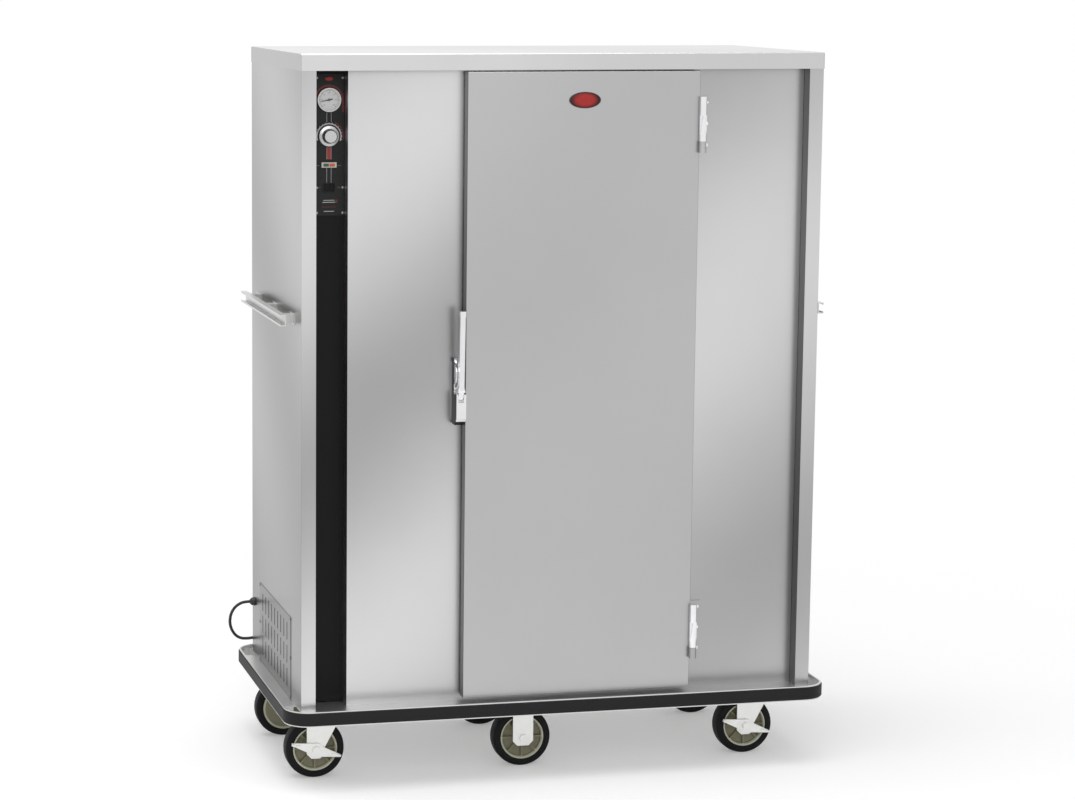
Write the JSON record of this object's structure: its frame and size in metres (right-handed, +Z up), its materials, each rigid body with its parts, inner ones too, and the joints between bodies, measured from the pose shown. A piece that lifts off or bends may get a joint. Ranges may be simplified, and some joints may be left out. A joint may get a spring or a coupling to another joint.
{
  "type": "heated banquet cabinet",
  "caption": "Insulated upright heated cabinet on casters with a wrap-round bumper, a tall hinged door, side push rails and a recessed control column.",
  "frame": {"origin": "on the floor below the centre of the body", "axes": "+X to the right as seen from the front, which is the hinge side; -Y is the front; +Z is up"},
  "size_m": [1.4558, 0.8025, 1.838],
  "materials": {
    "body_steel": "bright polished stainless sheet",
    "liner_steel": "plain stainless sheet",
    "deck_metal": "satin aluminium",
    "bumper_metal": "satin extrusion",
    "bumper_rubber": "matt black",
    "caster_zinc": "bright zinc plate",
    "wheel_tyre": "grey-green rubber",
    "insulation_wool": "glass wool",
    "shelf_wire": "bright plated bars",
    "element_steel": "dark strip heater",
    "motor_black": "satin black",
    "rotor_metal": "plain aluminium",
    "column_black": "satin black",
    "panel_black": null,
    "gauge_metal": "bright bezel with white dial",
    "needle_black": "matt black",
    "gauge_glass": "clear",
    "knob_plastic": "black knob with a silver skirt",
    "lamp_plastic": "pale bezel, green and red lenses",
    "switch_plastic": "black",
    "gasket_rubber": "matt black",
    "hardware_chrome": "polished chrome plate",
    "rail_metal": "satin extrusion",
    "gland_plastic": "black",
    "cord_rubber": "black jacket",
    "plug_rubber": "black moulding with brass pins",
    "tie_plastic": "white strap"
  },
  "bodies": {
    "cabinet": {"base_frame": "deck_metal", "bumper_track": "bumper_metal", "bumper_strip": "bumper_rubber", "caster_plates": "caster_zinc", "rigid_casters": "caster_zinc", "left_side_panel": "body_steel", "right_side_panel": "body_steel", "back_panel": "body_steel", "top_cap": "body_steel", "front_frame": "body_steel", "vent_panel": "body_steel", "liner": "liner_steel", "insulation": "insulation_wool", "wire_shelves": "shelf_wire", "shelf_supports": "liner_steel", "heater_cover": "liner_steel", "heating_element": "element_steel", "fan_motor": "motor_black", "control_column": "column_black", "control_panel": "panel_black", "thermometer_case": "gauge_metal", "thermometer_glass": "gauge_glass", "thermostat_body": "motor_black", "pilot_lights": "lamp_plastic", "hinge_frame_leaves": "hardware_chrome", "latch_strike": "liner_steel", "push_rails": "rail_metal", "push_brackets": "rail_metal", "cord_gland": "gland_plastic", "power_cord": "cord_rubber", "cord_coil": "cord_rubber", "plug": "plug_rubber", "cord_tie": "tie_plastic"},
    "door": {"door_skin": "body_steel", "door_liner": "liner_steel", "door_insulation": "insulation_wool", "door_gasket": "gasket_rubber", "hinge_door_leaves": "hardware_chrome", "latch_body": "hardware_chrome"},
    "pull": {"latch_pull": "hardware_chrome"},
    "needle": {"thermometer_needle": "needle_black"},
    "knob": {"thermostat_knob": "knob_plastic"},
    "rocker": {"rocker_switch": "switch_plastic"},
    "fan": {"fan_rotor": "rotor_metal"},
    "fork_fl": {"fork_fl": "caster_zinc"},
    "brake_fl": {"brake_fl": "caster_zinc"},
    "wheel_fl": {"wheel_fl": "wheel_tyre"},
    "fork_fr": {"fork_fr": "caster_zinc"},
    "brake_fr": {"brake_fr": "caster_zinc"},
    "wheel_fr": {"wheel_fr": "wheel_tyre"},
    "fork_rl": {"fork_rl": "caster_zinc"},
    "brake_rl": {"brake_rl": "caster_zinc"},
    "wheel_rl": {"wheel_rl": "wheel_tyre"},
    "fork_rr": {"fork_rr": "caster_zinc"},
    "brake_rr": {"brake_rr": "caster_zinc"},
    "wheel_rr": {"wheel_rr": "wheel_tyre"},
    "wheel_fm": {"wheel_fm": "wheel_tyre"},
    "wheel_rm": {"wheel_rm": "wheel_tyre"}
  },
  "joints": [
    {"name": "door_swing", "type": "hinge", "parent": "cabinet", "child": "door", "pos_m": [0.35, -0.3465, 1], "axis": [0, 0, 1], "range_deg": [0, 180]},
    {"name": "latch_pull", "type": "hinge", "parent": "door", "child": "pull", "pos_m": [-0.2675, -0.334, 0.986], "axis": [1, 0, 0], "range_deg": [0, 25], "stiffness_Nm_per_rad": 0.4, "springref_deg": -28.65},
    {"name": "thermometer_needle", "type": "hinge", "parent": "cabinet", "child": "needle", "pos_m": [-0.5859, -0.256, 1.723], "axis": [0, 1, 0], "range_deg": [0, 200]},
    {"name": "thermostat_turn", "type": "hinge", "parent": "cabinet", "child": "knob", "pos_m": [-0.5859, -0.256, 1.634], "axis": [0, 1, 0], "range_deg": [0, 270]},
    {"name": "rocker_tilt", "type": "hinge", "parent": "cabinet", "child": "rocker", "pos_m": [-0.5859, -0.252, 1.507], "axis": [0, 0, 1], "range_deg": [0, 14]},
    {"name": "fan_spin", "type": "hinge", "parent": "cabinet", "child": "fan", "pos_m": [-0.4823, 0.04, 0.4], "axis": [1, 0, 0], "continuous": true},
    {"name": "swivel_fl", "type": "hinge", "parent": "cabinet", "child": "fork_fl", "pos_m": [-0.576, -0.206, 0.18], "axis": [0, 0, 1], "continuous": true},
    {"name": "brake_fl", "type": "hinge", "parent": "fork_fl", "child": "brake_fl", "pos_m": [-0.613, -0.206, 0.0762], "axis": [0, -1, 0], "range_deg": [0, 30]},
    {"name": "roll_fl", "type": "hinge", "parent": "fork_fl", "child": "wheel_fl", "pos_m": [-0.613, -0.206, 0.0762], "axis": [0, 1, 0], "continuous": true},
    {"name": "swivel_fr", "type": "hinge", "parent": "cabinet", "child": "fork_fr", "pos_m": [0.576, -0.206, 0.18], "axis": [0, 0, 1], "continuous": true},
    {"name": "brake_fr", "type": "hinge", "parent": "fork_fr", "child": "brake_fr", "pos_m": [0.539, -0.206, 0.0762], "axis": [0, -1, 0], "range_deg": [0, 30]},
    {"name": "roll_fr", "type": "hinge", "parent": "fork_fr", "child": "wheel_fr", "pos_m": [0.539, -0.206, 0.0762], "axis": [0, 1, 0], "continuous": true},
    {"name": "swivel_rl", "type": "hinge", "parent": "cabinet", "child": "fork_rl", "pos_m": [-0.576, 0.206, 0.18], "axis": [0, 0, 1], "continuous": true},
    {"name": "brake_rl", "type": "hinge", "parent": "fork_rl", "child": "brake_rl", "pos_m": [-0.613, 0.206, 0.0762], "axis": [0, -1, 0], "range_deg": [0, 30]},
    {"name": "roll_rl", "type": "hinge", "parent": "fork_rl", "child": "wheel_rl", "pos_m": [-0.613, 0.206, 0.0762], "axis": [0, 1, 0], "continuous": true},
    {"name": "swivel_rr", "type": "hinge", "parent": "cabinet", "child": "fork_rr", "pos_m": [0.576, 0.206, 0.18], "axis": [0, 0, 1], "continuous": true},
    {"name": "brake_rr", "type": "hinge", "parent": "fork_rr", "child": "brake_rr", "pos_m": [0.539, 0.206, 0.0762], "axis": [0, -1, 0], "range_deg": [0, 30]},
    {"name": "roll_rr", "type": "hinge", "parent": "fork_rr", "child": "wheel_rr", "pos_m": [0.539, 0.206, 0.0762], "axis": [0, 1, 0], "continuous": true},
    {"name": "roll_fm", "type": "hinge", "parent": "cabinet", "child": "wheel_fm", "pos_m": [-0.067, -0.206, 0.0762], "axis": [0, 1, 0], "continuous": true},
    {"name": "roll_rm", "type": "hinge", "parent": "cabinet", "child": "wheel_rm", "pos_m": [-0.067, 0.206, 0.0762], "axis": [0, 1, 0], "continuous": true}
  ]
}
